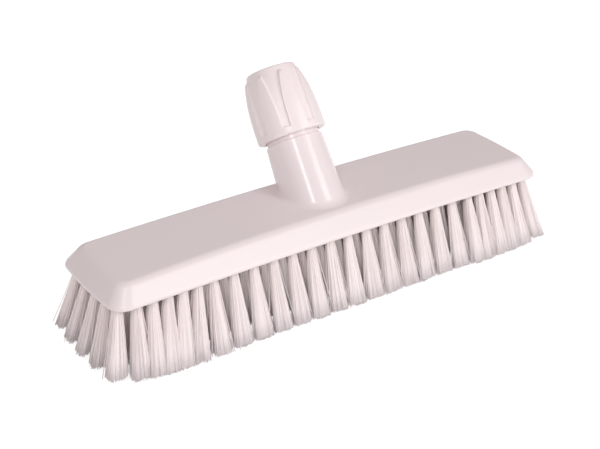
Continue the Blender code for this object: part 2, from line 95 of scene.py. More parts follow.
# Socket, from the bore outwards and along its own axis from the block's top
SOCKET_OFFSET = 4.1 * MM
SOCKET_TILT = math.radians(35.8)
BORE_RADIUS = 12.75 * MM
THREAD_ROOT = 15 * MM
NECK_RADIUS = 16.2 * MM
SHOULDER_RADIUS = 17.4 * MM
FOOT_RADIUS = 18.7 * MM
BORE_BOTTOM_AT = 4 * MM
TUBE_LENGTH = 32 * MM
NECK_PLAIN_AT = 37 * MM
THREAD_START_AT = 40 * MM
THREAD_TURNS = 4.5
THREAD_PITCH = 4 * MM
THREAD_GAP = 0.35 * MM
RIDGE_BASE = 2 * MM
RIDGE_CREST = 0.8 * MM
RIDGE_SUNK = 0.4 * MM
SHOULDER_CHAMFER = 0.7 * MM
CHAMFER_BULGE = (0.2, 0.45)
NECK_END_AT = 61 * MM
FOOT_FILLET = 4.5 * MM
FOOT_FILLET_BEHIND = 0.3 * MM
FOOT_BEDDING = 0.15 * MM
FOOT_SINK = 5 * MM
SLOT_FLOOR_AT = 49.6 * MM
SLOT_WIDTH = 5.8 * MM

# Collar
COLLAR_FOOT_AT = 34.5 * MM
BAND_TOP_AT = 38.8 * MM
COLLAR_TOP_AT = 76.6 * MM
COLLAR_RADIUS = 21.1 * MM
COLLAR_TOP_RADIUS = 16.75 * MM
COLLAR_CURL = 2.6
BAND_ROLL = 1.6 * MM
MOUTH_ROLL = 1 * MM
MOUTH_AT = COLLAR_TOP_AT - MOUTH_ROLL
MOUTH_SLOPE = math.radians(15)
LIP_RADIUS = 13.6 * MM
LIP_CHAMFER = 0.35 * MM
LIP_BULGE = 0.3
CONE_END_RADIUS = 14.3 * MM
CONE_START_AT = 64 * MM
CONE_END_AT = 75 * MM
COLLAR_BORE = 15.35 * MM
RELIEF_RADIUS = 16.95 * MM
RELIEF_END_AT = 40.4 * MM
THREAD_BORE_AT = 42 * MM
PETAL_PHASE = math.radians(213.5)
PETAL_HALF_ANGLE = math.radians(14.4)
PETAL_POINT_ANGLE = math.radians(0.2)
PETAL_FULLNESS = 2.6
PETAL_BLUNTNESS = 0.8
PETAL_TIP_AT = 73.2 * MM
PETAL_TIP_BLEND = 1.3 * MM
LEDGE_HEIGHT = 0.5 * MM

# Gripper sleeve
SEAT_GAP = 0.3 * MM
SLEEVE_FOOT_AT = 63.5 * MM
SLEEVE_SPLIT = 3 * MM
SLEEVE_CHAMFER = 0.3 * MM
TAB_LENGTH = 11.5 * MM
TAB_WIDTH = 5 * MM
TAB_THICKNESS = 1.6 * MM
TAB_CORNER = 1.2 * MM
GRIP_RIBS = 30
GRIP_DEPTH = 0.3 * MM

# Tufts, closer together towards the two ends
FIRST_COLUMN = -143.5 * MM
CLOSE_PITCH = 9.3 * MM
WIDE_PITCH = 13.1 * MM
LEFT_CLOSE_COUNT = 6
WIDE_COUNT = 14
RIGHT_CLOSE_COUNT = 5
ROW_PITCH = 13.25 * MM
END_ROW_PITCH = 10.8 * MM
ROWS = 5
TUFT_ROOT_RADIUS = 2 * MM
WIDE_TIP = (5.9 * MM, 2.5 * MM)
CLOSE_TIP = (5.5 * MM, 4.3 * MM)
TIP_CORNERS = 0.28
ROOT_DEPTH = 3 * MM
FLARE = 1.05
TIP_LIFT = 4 * MM
END_SHARPNESS = 14

# How the tufts lean; the first is in pairs of a place along the brush and the tips' shift there, in mm
LEAN_ALONG = (
    (-143.5, -9.5), (-134, -4.5), (-97, -4.5), (-88, 0.5), (-60, 3.2), (0, 4), (50, 5.5), (100, 7),
    (133, 8), (142, 9.5),
)
LEAN_ACROSS = 0.3
END_SPREAD = 0.15
LEFT_FAN = 4 * MM
END_SWAY = 3 * MM

# What a tuft is made of; its shares are parts of the whole, of its radius or of its unevenness
CORE_SHARE = 0.93
CORE_FLUTES = 14
FLUTE_DEPTH = 0.05
CORE_END = 1.9 * MM
FILAMENT_SIDES = 4
FILAMENT_END = 0.85
GOLDEN_ANGLE = math.pi * (3 - math.sqrt(5))
CROWDING = 0.3
STRAY_SHARE = 0.08
STRAY_REACH = 1.35
ROOT_JITTER = 0.06 * MM
TIP_JITTER = 0.06
BOW = 0.1 * MM
CLUMPS = 9
CLUMP_SHARE = 0.6
CUT_SLOPE = 0.05
CAP_SLOPE = 0.7

# White plastic: how fine its patterns are, and what they do to its tone, relief and roughness
CLOUD_SCALE = 22
GRAIN_SCALE = 1500
PEEL_SCALE = 240
GRAIN_SHARE = 0.25
PEEL_SHARE = 0.7
PLASTIC_TONES = (0.975, 1.02)
PLASTIC_RELIEF = 0.02 * MM
PLASTIC_IOR = 1.49
ROUGH_BY_GRAIN = 0.12
ROUGH_BY_CLOUD = 0.06
TUBE_ROUGHNESS = 0.2
BOARD_ROUGHNESS = 0.32
BOARD_FADE = (60 * MM, 68 * MM)
COLLAR_ROUGHNESS = 0.3
# Painted light: the collar's plastic is painted a little lighter than the block's
COLLAR_PAINTED_LIGHT = 1.05

# Natural plastic of the sleeve
SLEEVE_CLOUD_SCALE = 90
SLEEVE_GRAIN_SCALE = 2200
SLEEVE_TONES = (0.94, 1.04)
SLEEVE_RELIEF = 0.03 * MM
SLEEVE_ROUGHNESS = 0.42
SLEEVE_ROUGH_BY_GRAIN = 0.2

# Filament, painted paler and a trace yellower between two heights towards the block: painted light that
# lifts the shade among the tufts
STREAK_SCALE = 700
STREAK_SHARE = 0.3
FILAMENT_TONES = (0.95, 1.03)
# Painted light: where the filaments are painted paler, how much, and how much less blue
PAINTED_LIGHT_SPAN = (4 * MM, 38 * MM)
PAINTED_LIGHT_SHARE = 0.9
PAINTED_LIGHT_TONE = 1.05
PAINTED_LIGHT_BLUE = 0.98
FILAMENT_ROUGHNESS = 0.32
ROUGH_BY_SHADE = 0.16

# Studio; a lamp has its angles round and above the brush in degrees, its distance and its size
FLOOR_SIZE = 12
FLOOR_GRAIN_SCALE = 60
FLOOR_GRAIN_SHARE = 0.02
FLOOR_GRAIN_TONE = 0.9
FLOOR_SEEN_TONE = 0.55
FLOOR_GLOW = 0.78
FLOOR_ROUGHNESS = 0.9
SKY_TINT = (1, 0.925, 0.93)
LAMP_TARGET = (0, 0, 60 * MM)
KEY_LAMP = (27, 24, 2.2, (0.85, 1.5))
FILL_LAMP = (-42, 36, 2.4, (0.16, 1.45))

# The photograph's camera: lens and sensor in mm, place, and which ways are right, up and back
CAMERA_LENS = 79.938
CAMERA_SENSOR = 36
CAMERA_CLIP = (0.05, 50)
CAMERA_PLACE = (-0.4063, -0.5898, 0.4246)
CAMERA_AXES = ((0.8275, -0.5614, 0.007), (0.2627, 0.3982, 0.8789), (-0.4962, -0.7254, 0.477))

# How finely shapes are divided; the board by cuts up to a reach to each side, and so many steps
ROUND_STEPS = 96
CORNER_STEPS = 12
CREASE_STEPS = 5
RIM_STEPS = 7
LENGTH_CUTS = (145.5 * MM, 46)
WIDTH_CUTS = (30 * MM, 12)
THREAD_STEPS = 48
FOOT_STEPS = 8
ROLL_STEPS = 6
LEDGE_STEPS = 4
PETAL_STEPS = 20
CURL_STEPS = 3
PETAL_SHARES = (0, 0.3, 0.6, 0.85)
PETAL_EDGE_STEPS = 6
VALLEY_SHARES = (0.33, 0.66, 1)
RIB_STEPS = 6
TAB_STEPS = 4
ROD_STEPS = 4

# What still counts as one point or one level, what faces down, and the sharpest smooth angles
MERGED = 0.002 * MM
TINY = 0.01 * MM
FACING_DOWN = -0.99
BLOCK_SMOOTH = 34
COLLAR_SMOOTH = 50
SLEEVE_SMOOTH = 40

BLOCK_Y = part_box("brush_block")[0].y + HALF_WIDTH
SOCKET_PLACE = Matrix.Translation((0, BLOCK_Y + SOCKET_OFFSET, RIM_LEVEL + BLOCK_RISE + TOP_CROWN))
SOCKET_PLACE = SOCKET_PLACE @ Matrix.Rotation(-SOCKET_TILT, 4, "X")
COLUMN_STEPS = (
    [CLOSE_PITCH] * LEFT_CLOSE_COUNT + [WIDE_PITCH] * WIDE_COUNT + [CLOSE_PITCH] * RIGHT_CLOSE_COUNT
)


# Settings that a user would change


def length_setting(name, description, default):
    return FloatProperty(name=name, description=description, default=default, unit="LENGTH")


def colour_setting(name, description, default):
    return FloatVectorProperty(name=name, description=description, default=default, size=3, subtype="COLOR")


class BlockSettings(PropertyGroup):
    rim_roll: length_setting("Rim Roll", "Radius of the rounded lower edge of the rim", 2.2 * MM)
    crease_blend: length_setting("Crease Blend", "How far the top's creases are rounded", 2.6 * MM)


class CollarSettings(PropertyGroup):
    petals: IntProperty(
        name="Petals", description="How many raised pointed panels go round the collar", default=8, min=3
    )
    raised: length_setting(
        "Petal Height", "How far the petals stand above the valleys between them", 1.5 * MM
    )
    edge: FloatProperty(
        name="Petal Edge",
        description="Angle round the collar that a petal's rounded edge takes",
        default=math.radians(2.4),
        subtype="ANGLE",
    )


class TuftSettings(PropertyGroup):
    filaments: IntProperty(
        name="Filaments", description="How many filaments one tuft has", default=170, min=10
    )
    thickness: length_setting("Filament Thickness", "Diameter of one filament", 0.52 * MM)
    unevenness: length_setting(
        "Uneven Ends", "How much the filaments of a tuft differ in length", 1.9 * MM
    )
    seed: IntProperty(name="Seed", description="Chooses another random lay of the filaments", default=7)


class FinishSettings(PropertyGroup):
    plastic: colour_setting(
        "Moulded Plastic", "Colour of the block and the collar", (0.917, 0.827, 0.829)
    )
    sleeve: colour_setting("Sleeve Plastic", "Colour of the gripper sleeve", (0.72, 0.7, 0.68))
    filament: colour_setting("Filament", "Colour of the bristles", (0.95, 0.872, 0.874))


class StageSettings(PropertyGroup):
    floor: colour_setting("Floor", "Colour of the studio floor", (0.97, 0.97, 0.97))
    key: FloatProperty(
        name="Key Light", description="Power of the large light on the right", default=18.5, unit="POWER"
    )
    fill: FloatProperty(
        name="Fill Light", description="Power of the narrow upright light", default=14.2, unit="POWER"
    )
    sky: FloatProperty(
        name="Surrounding Light", description="Strength of the even light from all round", default=0.42
    )


# Selecting and shaping in edit mode


def new_object(name, data):
    """A new object, linked to the scene."""
    item = bpy.data.objects.new(name, data)
    bpy.context.scene.collection.objects.link(item)
    return item


def start_piece(add_primitive, **options):
    """A new piece from a primitive, open in edit mode and selected all over."""
    if bpy.context.mode != "OBJECT":
        bpy.ops.object.mode_set(mode="OBJECT")
    bpy.ops.object.select_all(action="DESELECT")
    add_primitive(**options)
    bpy.ops.object.mode_set(mode="EDIT")
    return bpy.context.object


def only(piece):
    """Makes one object the selected and active one."""
    bpy.ops.object.select_all(action="DESELECT")
    piece.select_set(True)
    bpy.context.view_layer.objects.active = piece


def select_whole_mesh():
    bpy.ops.mesh.select_all(action="SELECT")


def enter_edit(piece):
    """Opens a piece in edit mode, selected all over."""
    only(piece)
    bpy.ops.object.mode_set(mode="EDIT")
    select_whole_mesh()


def leave_edit():
    bpy.ops.object.mode_set(mode="OBJECT")


def pick(kind, wanted):
    """Selects in edit mode only the edges, or only the faces, that pass a test."""
    bpy.ops.mesh.select_mode(type=kind)
    bpy.ops.mesh.select_all(action="DESELECT")
    shape = bmesh.from_edit_mesh(bpy.context.object.data)
    for item in shape.edges if kind == "EDGE" else shape.faces:
        if wanted(item):
            item.select_set(True)
    shape.select_flush_mode()
    bmesh.update_edit_mesh(bpy.context.object.data)


def settle(piece, place):
    """Moves each vertex of a piece to where a rule puts it."""
    for vertex in piece.data.vertices:
        vertex.co = place(vertex.co)
    piece.data.update()


def close_up(piece):
    """Merges doubles and turns all faces outwards."""
    enter_edit(piece)
    bpy.ops.mesh.remove_doubles(threshold=MERGED)
    bpy.ops.mesh.normals_make_consistent(inside=False)
    leave_edit()


def apply_modifier(piece, kind, **settings):
    """Gives a piece a modifier with its settings and makes its result the piece's own mesh."""
    only(piece)
    modifier = piece.modifiers.new(kind.title(), kind)
    for name, value in settings.items():
        setattr(modifier, name, value)
    bpy.ops.object.modifier_apply(modifier=modifier.name)


def combine(piece, other, operation):
    """Joins a second solid to a piece or cuts it out of it, and removes the second one."""
    apply_modifier(piece, "BOOLEAN", operation=operation, solver="MANIFOLD", object=other)
    bpy.data.objects.remove(other)


def on_socket(piece):
    """Lays a piece that was made upright at the origin on the socket's tilted axis."""
    only(piece)
    piece.matrix_world = SOCKET_PLACE
    bpy.ops.object.transform_apply(location=True, rotation=True, scale=True)
    return piece


def extrude_up(rise):
    bpy.ops.mesh.extrude_region_move(TRANSFORM_OT_translate={"value": (0, 0, rise)})


def raise_ring(start, end):
    """Extrudes the selected end of a round form from one (radius, distance) to the next."""
    extrude_up(end[1] - start[1])
    widen = end[0] / start[0]
    bpy.ops.transform.resize(value=(widen, widen, 1), center_override=(0, 0, end[1]))


def start_disc(sides, radius):
    """A new flat disc, open in edit mode."""
    return start_piece(bpy.ops.mesh.primitive_circle_add, vertices=sides, radius=radius, fill_type="NGON")


def turned_form(stations):
    """A round solid about the Z axis, extruded from ring to ring; stations are (radius, distance)."""
    radius, distance = stations[0]
    piece = start_disc(ROUND_STEPS, radius)
    bpy.ops.transform.translate(value=(0, 0, distance))
    for start, end in zip(stations, stations[1:]):
        raise_ring(start, end)
    leave_edit()
    close_up(piece)
    return piece


def box_form(low, high):
    """A plain block between two corners."""
    low, high = Vector(low), Vector(high)
    piece = start_piece(bpy.ops.mesh.primitive_cube_add, size=1)
    bpy.ops.transform.resize(value=high - low)
    bpy.ops.transform.translate(value=(low + high) / 2)
    leave_edit()
    return piece


def along(start, end, steps):
    """Evenly spaced values from start to end, both included."""
    return [start + (end - start) * index / steps for index in range(steps + 1)]


def finish_piece(piece, name, body, material, node):
    """Names a piece, gives it its finish and hands it to the frame."""
    piece.name = name
    piece.data.name = name
    piece.data.materials.clear()
    piece.data.materials.append(material)
    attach(piece, body)
    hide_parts(node)


def smooth_piece(piece, angle):
    """Smooth shading up to an angle in degrees, in which the large faces lead the small ones."""
    only(piece)
    bpy.ops.object.shade_smooth_by_angle(angle=math.radians(angle))
    apply_modifier(piece, "WEIGHTED_NORMAL", mode="FACE_AREA", keep_sharp=True)


# Block


def middle_share(x):
    """1 at mid-length, falling to 0 at the ends of the block."""
    return 1 - (x / HALF_LENGTH) ** 2


def board_place(point):
    """Where a point of the straight, flat board lies on the arched, crowned and waisted one."""
    x, y, z = point
    share = middle_share(x)
    height = min(max(z / BLOCK_RISE, 0), 1)
    rise = RIM_ARCH * share + (TOP_CROWN - RIM_ARCH) * share * height
    waist = TOP_WAIST * share * height / (HALF_WIDTH - SIDE_FACET_RUN)
    bulge = END_BOW * (1 - (y / HALF_WIDTH) ** 2) * (abs(x) / HALF_LENGTH) ** BOW_SHARPNESS
    return Vector((x + math.copysign(bulge, x), BLOCK_Y + y * (1 - waist), RIM_LEVEL + z + rise))


def rounded_plate(half_length, half_width, corner, level):
    """Shapes the plate just added in edit mode: its size, its rounded corners and its height."""
    bpy.ops.transform.resize(value=(half_length, half_width, 1))
    bpy.ops.transform.translate(value=(0, 0, level))
    bpy.ops.mesh.bevel(offset=corner, segments=CORNER_STEPS, affect="VERTICES", clamp_overlap=False)


def rim_angle(run, roll):
    """The angle between the rim's underside and a facet that is tangent to the rim's arc."""
    lean = math.atan2(run - roll, BLOCK_RISE) + math.asin(roll / math.hypot(run - roll, BLOCK_RISE))
    return math.pi / 2 - lean


def rounded_off(angle):
    """How far a rounding of unit width takes the tip of a wedge back."""
    return 1 + math.cos(angle) - math.hypot(1, math.cos(angle))


def bridged_plates(lower, painted_light_mask):
    """A closed flat board in edit mode, between two plates given as for rounded_plate."""
    board = start_piece(bpy.ops.mesh.primitive_plane_add, size=2)
    rounded_plate(*lower)
    bpy.ops.mesh.select_all(action="DESELECT")
    bpy.ops.mesh.primitive_plane_add(size=2)
    rounded_plate(*painted_light_mask)
    select_whole_mesh()
    bpy.ops.mesh.bridge_edge_loops()
    select_whole_mesh()
    bpy.ops.mesh.fill_holes(sides=0)
    select_whole_mesh()
    bpy.ops.mesh.normals_make_consistent(inside=False)
    return board


def round_edges(at_level, width, steps):
    """Rounds those edges of the mesh in edit mode that have both ends at the wanted level."""
    pick("EDGE", lambda edge: all(at_level(vertex.co.z) for vertex in edge.verts))
    bpy.ops.mesh.bevel(offset=width, segments=steps, affect="EDGES", clamp_overlap=False)


def cut_across(direction, reach, steps):
    """Divides all faces of the mesh in edit mode by planes across one direction."""
    for place in along(-reach, reach, steps):
        select_whole_mesh()
        bpy.ops.mesh.bisect(plane_co=Vector(direction) * place, plane_no=direction)


def sink_underside(board):
    """Leaves a narrow land round the underside and lays the rest flat, inside the rim."""
    enter_edit(board)
    pick("FACE", lambda face: face.normal.z < FACING_DOWN)
    bpy.ops.mesh.inset(thickness=RIM_LAND)
    extrude_up(MM)
    bpy.ops.transform.resize(value=(1, 1, 0), center_override=(0, 0, UNDERSIDE_LEVEL))
    leave_edit()


def board_form(sizes):
    """The board without its socket: two plates bridged, edges rounded, then arched and crowned."""
    side_angle = rim_angle(SIDE_FACET_RUN, sizes.rim_roll)
    tangent = sizes.rim_roll / math.tan(side_angle / 2)
    reach = tangent * rounded_off(side_angle)
    end_reach = tangent * rounded_off(rim_angle(END_FACET_RUN, sizes.rim_roll))
    board = bridged_plates(
        (HALF_LENGTH + end_reach, HALF_WIDTH + reach, RIM_CORNER + reach, -sizes.rim_roll),
        (HALF_LENGTH - END_FACET_RUN, HALF_WIDTH - SIDE_FACET_RUN, TOP_CORNER, BLOCK_RISE),
    )
    round_edges(lambda level: level > BLOCK_RISE - TINY, sizes.crease_blend, CREASE_STEPS)
    round_edges(lambda level: level < TINY - sizes.rim_roll, tangent, RIM_STEPS)
    cut_across((1, 0, 0), *LENGTH_CUTS)
    cut_across((0, 1, 0), *WIDTH_CUTS)
    leave_edit()
    settle(board, board_place)
    sink_underside(board)
    close_up(board)
    return board


def foot_curve(angle):
    """The fillet's section at one angle round the socket, from inside the board up to the tube.

    It is full in front and dies out behind, where the leaning tube runs on to the back facet.
    """
    behind = max(math.sin(angle), 0)
    outward = Vector((math.cos(angle), math.sin(angle), 0))
    on_edge = outward * FOOT_RADIUS
    on_edge.z = on_edge.y * math.tan(SOCKET_TILT)
    up = Vector((0, -math.sin(SOCKET_TILT), math.cos(SOCKET_TILT)))
    fillet = FOOT_FILLET + (FOOT_FILLET_BEHIND - FOOT_FILLET) * behind
    on_board = on_edge + on_edge.normalized() * fillet - up * FOOT_BEDDING
    on_tube = on_edge + Vector((0, 0, fillet))
    upward = up.lerp(Vector((0, 0, 1 / math.cos(SOCKET_TILT))), behind)
    points = [on_board - upward * FOOT_SINK]
    for share in along(0, 1, FOOT_STEPS):
        points.append(on_board.lerp(on_edge, share).lerp(on_edge.lerp(on_tube, share), share))
    return points


def tube_form():
    """The tilted tube with its filleted foot, its shoulder and the neck for the collar."""
    rings = FOOT_STEPS + 2
    stacked = [(FOOT_RADIUS, (index - rings) * MM) for index in range(rings)]
    inward, down = (share * SHOULDER_CHAMFER for share in CHAMFER_BULGE)
    stations = stacked + [
        (SHOULDER_RADIUS, TUBE_LENGTH - SHOULDER_CHAMFER),
        (SHOULDER_RADIUS - inward, TUBE_LENGTH - down),
        (SHOULDER_RADIUS - SHOULDER_CHAMFER, TUBE_LENGTH),
        (NECK_RADIUS, TUBE_LENGTH),
        (NECK_RADIUS, NECK_PLAIN_AT),
        (THREAD_ROOT, NECK_PLAIN_AT + NECK_RADIUS - THREAD_ROOT),
        (THREAD_ROOT, NECK_END_AT),
    ]
    tube = turned_form(stations)

    def lay_foot(point):
        """Moves the stacked rings, a millimetre apart, to their points on the fillet's section."""
        if point.z > -MM / 2:
            return point
        curve = foot_curve(math.atan2(point.y, point.x))
        return curve[round(point.z / MM) + rings]

    settle(tube, lay_foot)
    return tube


def thread_form(start, turns, root, crest, base_width, crest_width):
    """A right-hand helical ridge of trapezium section, sunk a little under its root radius."""
    widen = (base_width - crest_width) / (crest - root) * RIDGE_SUNK / 2
    ridge = start_piece(bpy.ops.mesh.primitive_plane_add, size=1)
    bpy.ops.mesh.delete(type="ONLY_FACE")
    leave_edit()

    def section(point):
        """Where the square's corners lie on the trapezium, whose crest is outside."""
        if point.x > 0:
            return Vector((crest, 0, start + math.copysign(crest_width / 2, point.y)))
        half = base_width / 2 + widen
        return Vector((root - RIDGE_SUNK, 0, start + math.copysign(half, point.y)))

    settle(ridge, section)
    rounds = math.ceil(turns)
    apply_modifier(
        ridge,
        "SCREW",
        angle=2 * math.pi * turns / rounds,
        screw_offset=THREAD_PITCH * turns / rounds,
        iterations=rounds,
        steps=THREAD_STEPS,
        render_steps=THREAD_STEPS,
    )
    enter_edit(ridge)
    bpy.ops.mesh.remove_doubles(threshold=MERGED)
    bpy.ops.mesh.fill_holes(sides=4)
    leave_edit()
    close_up(ridge)
    return ridge


class BlockOperator(Operator):
    """Models the moulded block with its socket, thread and slots"""

    bl_idname = "deck_brush.block"
    bl_label = "Block"

    def execute(self, context):
        block = board_form(context.scene.deck_brush_block)
        combine(block, on_socket(tube_form()), "UNION")
        ridge = thread_form(THREAD_START_AT, THREAD_TURNS, THREAD_ROOT, NECK_RADIUS, RIDGE_BASE, RIDGE_CREST)
        combine(block, on_socket(ridge), "UNION")
        above = NECK_END_AT + RIDGE_BASE
        bore = turned_form([(BORE_RADIUS, BORE_BOTTOM_AT), (BORE_RADIUS, above)])
        combine(block, on_socket(bore), "DIFFERENCE")
        reach = NECK_RADIUS + RIDGE_BASE
        slot = box_form((-reach, -SLOT_WIDTH / 2, SLOT_FLOOR_AT), (reach, SLOT_WIDTH / 2, above))
        combine(block, on_socket(slot), "DIFFERENCE")
        close_up(block)
        smooth_piece(block, BLOCK_SMOOTH)
        colour = context.scene.deck_brush_finish.plastic
        material = plastic_finish("white_moulding", colour, TUBE_ROUGHNESS)
        finish_piece(block, "moulded_block", "block", material, "brush_block")
        return {"FINISHED"}


# Collar


def collar_outer_radius(distance):
    """The petals' outer radius: nearly straight low down and curling in to the mouth."""
    share = max((distance - BAND_TOP_AT) / (MOUTH_AT - BAND_TOP_AT), 0)
    return COLLAR_RADIUS - (COLLAR_RADIUS - COLLAR_TOP_RADIUS) * share**COLLAR_CURL


def petal_half_angle(distance):
    """The pointed-arch outline: full width at the band, closing to a point at the petal's tip."""
    share = min(max((distance - BAND_TOP_AT) / (PETAL_TIP_AT - BAND_TOP_AT), 0), 1)
    return PETAL_HALF_ANGLE * (1 - share**PETAL_FULLNESS) ** PETAL_BLUNTNESS + PETAL_POINT_ANGLE


def ease(share):
    """A soft step from 0 to 1."""
    return 0.5 - 0.5 * math.cos(math.pi * min(max(share, 0), 1))


def petal_columns(half, edge, pitch):
    """(angle from the petal's middle, share sunk) for the columns of one half petal and valley."""
    columns = [(half * share, 0) for share in PETAL_SHARES]
    for share in along(0, 1, PETAL_EDGE_STEPS):
        columns.append((half + edge * share, ease(share)))
    valley = half + edge
    for share in VALLEY_SHARES:
        columns.append((valley + (pitch / 2 - valley) * share, 1))
    return columns


def band_section():
    """The plain band's rounded foot, in which nothing is sunk."""
    section = []
    for angle in along(0, math.pi / 2, ROLL_STEPS):
        distance = COLLAR_FOOT_AT + BAND_ROLL * (1 - math.cos(angle))
        section.append((distance, COLLAR_RADIUS - BAND_ROLL * (1 - math.sin(angle)), 0, 0))
    return section


def petal_section(raised):
    """The ledge over the band, the petals with their closing tips, and the curl above them."""
    section = []
    for share in along(0, 1, LEDGE_STEPS):
        distance = BAND_TOP_AT + LEDGE_HEIGHT * share
        section.append((distance, collar_outer_radius(distance), raised * ease(share), 0))
    start = BAND_TOP_AT + LEDGE_HEIGHT
    for step in along(0, 1, PETAL_STEPS)[1:]:
        distance = start + (PETAL_TIP_AT - start) * (1 - (1 - step) ** 2)
        closing = ease(1 - (PETAL_TIP_AT - distance) / PETAL_TIP_BLEND)
        section.append((distance, collar_outer_radius(distance), raised, closing))
    for distance in along(PETAL_TIP_AT, MOUTH_AT, CURL_STEPS)[1:]:
        section.append((distance, collar_outer_radius(distance), raised, 1))
    return section


def mouth_section(raised):
    """The rounding of the mouth, from the level of the valleys in to the lip."""
    top = collar_outer_radius(MOUTH_AT) - raised
    inner = LIP_RADIUS + LIP_CHAMFER
    section = []
    for angle in along(MOUTH_SLOPE, math.pi / 2, ROLL_STEPS)[1:]:
        rise = (math.sin(angle) - math.sin(MOUTH_SLOPE)) / (1 - math.sin(MOUTH_SLOPE))
        inward = 1 - math.cos(angle) / math.cos(MOUTH_SLOPE)
        section.append((MOUTH_AT + MOUTH_ROLL * rise, top + (inner - top) * inward, 0, 0))
    return section


def inside_section():
    """The lip with its small chamfer, the cone, the bore for the thread and the relief below it."""
    bulge = LIP_BULGE * LIP_CHAMFER
    inside = [
        (COLLAR_TOP_AT - bulge, LIP_RADIUS + bulge),
        (COLLAR_TOP_AT - LIP_CHAMFER, LIP_RADIUS),
        (CONE_END_AT, LIP_RADIUS),
        (CONE_END_AT, CONE_END_RADIUS),
        (CONE_START_AT, COLLAR_BORE),
        (THREAD_BORE_AT, COLLAR_BORE),
        (RELIEF_END_AT, RELIEF_RADIUS),
        (COLLAR_FOOT_AT, RELIEF_RADIUS),
    ]
    return [(distance, radius, 0, 0) for distance, radius in inside]


def collar_section(raised):
    """The collar's closed section as (distance, radius, valley's depth, share that petals sink)."""
    return band_section() + petal_section(raised) + mouth_section(raised) + inside_section()


def petal_sector(sizes):
    """One petal with half a valley at each side, with the wall behind it, from a grid."""
    pitch = 2 * math.pi / sizes.petals
    section = collar_section(sizes.raised)
    half_columns = len(petal_columns(1, 1, 1)) - 1
    columns, rows = 2 * half_columns, len(section)
    sector = start_piece(
        bpy.ops.mesh.primitive_grid_add, x_subdivisions=columns, y_subdivisions=rows, size=1
    )
    leave_edit()

    def wrap(point):
        """Where a point of the flat grid lies: its x is the way round, its y along the section."""
        column = round((point.x + 0.5) * columns) - half_columns
        distance, radius, depth, closing = section[round((point.y + 0.5) * rows) % rows]
        angle, sunk = petal_columns(petal_half_angle(distance), sizes.edge, pitch)[abs(column)]
        angle = PETAL_PHASE + math.copysign(angle, column)
        radius -= depth * max(sunk, closing)
        return Vector((radius * math.cos(angle), radius * math.sin(angle), distance))

    settle(sector, wrap)
    return sector


def collar_form(sizes):
    """The petal's sector copied all the way round, by way of a turned guide, and merged."""
    collar = petal_sector(sizes)
    guide = new_object("turn_guide", None)
    guide.rotation_euler = (0, 0, 2 * math.pi / sizes.petals)
    bpy.context.view_layer.update()
    turned = {"use_relative_offset": False, "use_object_offset": True, "offset_object": guide}
    apply_modifier(collar, "ARRAY", count=sizes.petals, **turned)
    bpy.data.objects.remove(guide)
    close_up(collar)
    return collar


class CollarOperator(Operator):
    """Models the screw collar with its petals, its inside cone and its thread"""

    bl_idname = "deck_brush.collar"
    bl_label = "Collar"

    def execute(self, context):
        collar = collar_form(context.scene.deck_brush_collar)
        grown = 2 * THREAD_GAP
        # The groove is roomier than the neck's ridge and runs on for a turn at each end of it
        groove = thread_form(
            THREAD_START_AT - THREAD_PITCH,
            THREAD_TURNS + 2,
            THREAD_ROOT + THREAD_GAP,
            NECK_RADIUS + THREAD_GAP,
            RIDGE_BASE + grown,
            RIDGE_CREST + grown,
        )
        combine(collar, groove, "DIFFERENCE")
        close_up(collar)
        on_socket(collar)
        smooth_piece(collar, COLLAR_SMOOTH)
        # Painted light: the collar gets a lighter copy of the block's plastic colour
        colour = tone(context.scene.deck_brush_finish.plastic, COLLAR_PAINTED_LIGHT)
        material = plastic_finish("white_collar", colour[:3], COLLAR_ROUGHNESS)
        finish_piece(collar, "screw_collar", "collar", material, "locking_collar")
        return {"FINISHED"}


# Gripper sleeve


def cone_radius(distance):
    """The collar's inside cone at one distance."""
    share = max((distance - CONE_START_AT) / (CONE_END_AT - CONE_START_AT), 0)
    return COLLAR_BORE + (CONE_END_RADIUS - COLLAR_BORE) * share


def sleeve_ring():
    """The split ring, spun from its section."""
    top = CONE_END_AT - SEAT_GAP
    section = [
        (BORE_RADIUS, SLEEVE_FOOT_AT),
        (cone_radius(SLEEVE_FOOT_AT) - SEAT_GAP, SLEEVE_FOOT_AT),
        (cone_radius(CONE_START_AT) - SEAT_GAP, CONE_START_AT),
        (cone_radius(top) - SEAT_GAP, top - SLEEVE_CHAMFER),
        (cone_radius(top) - SEAT_GAP - SLEEVE_CHAMFER, top),
        (BORE_RADIUS, top),
    ]
    split = math.asin(SLEEVE_SPLIT / 2 / BORE_RADIUS)
    sleeve = start_disc(len(section), 1)
    leave_edit()
    for vertex, (radius, distance) in zip(sleeve.data.vertices, section):
        vertex.co = (radius * math.sin(split), -radius * math.cos(split), distance)
    enter_edit(sleeve)
    turn = 2 * math.pi - 2 * split
    bpy.ops.mesh.spin(steps=GRIP_RIBS * RIB_STEPS, angle=turn, center=(0, 0, 0), axis=(0, 0, 1))
    leave_edit()
    close_up(sleeve)
    return sleeve


def cut_grip(sleeve):
    """Shallow grooves down the bore of the sleeve, which leave ribs that grip the handle."""
    for vertex in sleeve.data.vertices:
        radius = math.hypot(vertex.co.x, vertex.co.y)
        if radius < BORE_RADIUS + TINY:
            angle = math.atan2(vertex.co.y, vertex.co.x)
            groove = GRIP_DEPTH * (0.5 - 0.5 * math.cos(GRIP_RIBS * angle))
            vertex.co.x *= (radius + groove) / radius
            vertex.co.y *= (radius + groove) / radius


